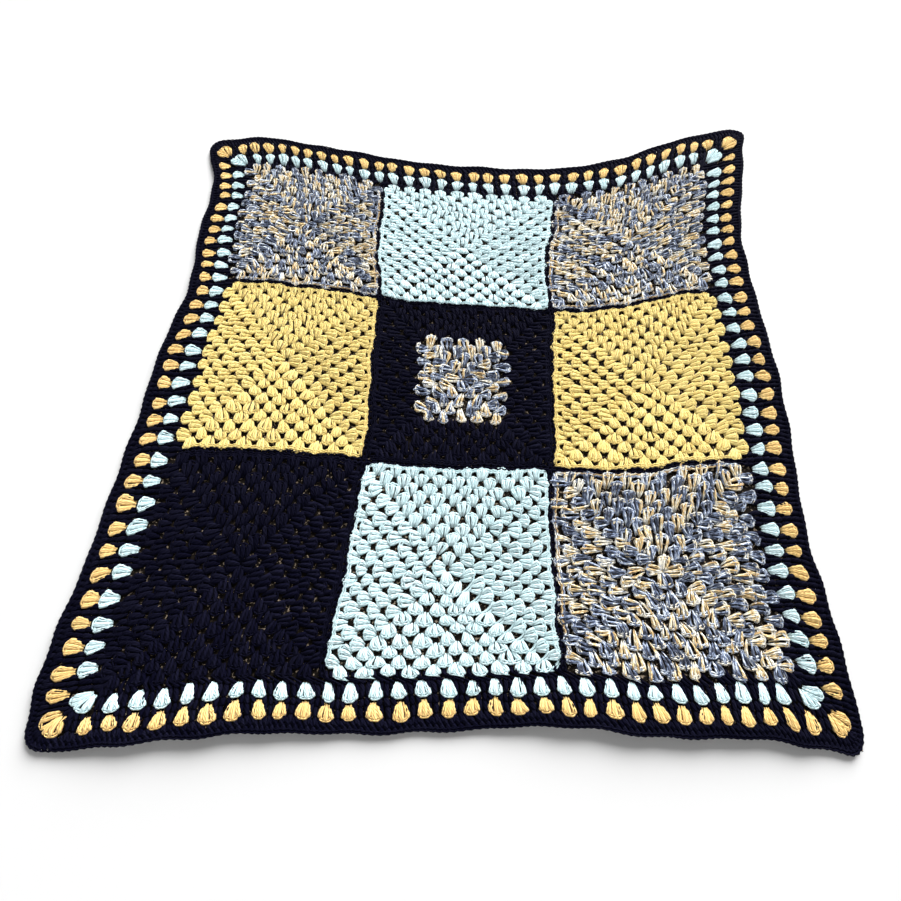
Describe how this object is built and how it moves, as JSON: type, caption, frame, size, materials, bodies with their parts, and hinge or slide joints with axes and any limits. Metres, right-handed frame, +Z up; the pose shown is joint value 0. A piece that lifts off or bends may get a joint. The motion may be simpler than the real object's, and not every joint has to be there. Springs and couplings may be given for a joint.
{
  "type": "crochet afghan blanket",
  "caption": "Crocheted granny square afghan blanket lying flat, with joined squares in dark, light blue, yellow and mixed yarn and a clustered striped border.",
  "frame": {"origin": "centre of the bounding rectangle, on the surface that the blanket lies on", "axes": "+Z up, out of the face that shows, -Y towards the near edge of the picture, +X to its right"},
  "size_m": [0.9998, 1.0542, 0.0154],
  "materials": {
    "yarn_dark": "matte soft worsted yarn, very dark navy",
    "yarn_light_blue": "matte soft worsted yarn, pale blue",
    "yarn_yellow": "matte soft worsted yarn, warm yellow",
    "yarn_mixed": "matte soft worsted yarn that changes between slate blue, pale blue, cream and off-white"
  },
  "bodies": {
    "root": {"panel_far_left": "yarn_mixed", "panel_far_middle": "yarn_light_blue", "panel_far_right": "yarn_mixed", "panel_middle_left": "yarn_yellow", "panel_centre_dark": "yarn_dark", "panel_centre_mixed": "yarn_mixed", "panel_middle_right": "yarn_yellow", "panel_near_left": "yarn_dark", "panel_near_middle": "yarn_light_blue", "panel_near_right": "yarn_mixed", "joins_dark": "yarn_dark", "border_dark_inner": "yarn_dark", "border_light_blue": "yarn_light_blue", "border_dark_middle": "yarn_dark", "border_yellow": "yarn_yellow", "border_dark_outer": "yarn_dark"}
  },
  "joints": []
}
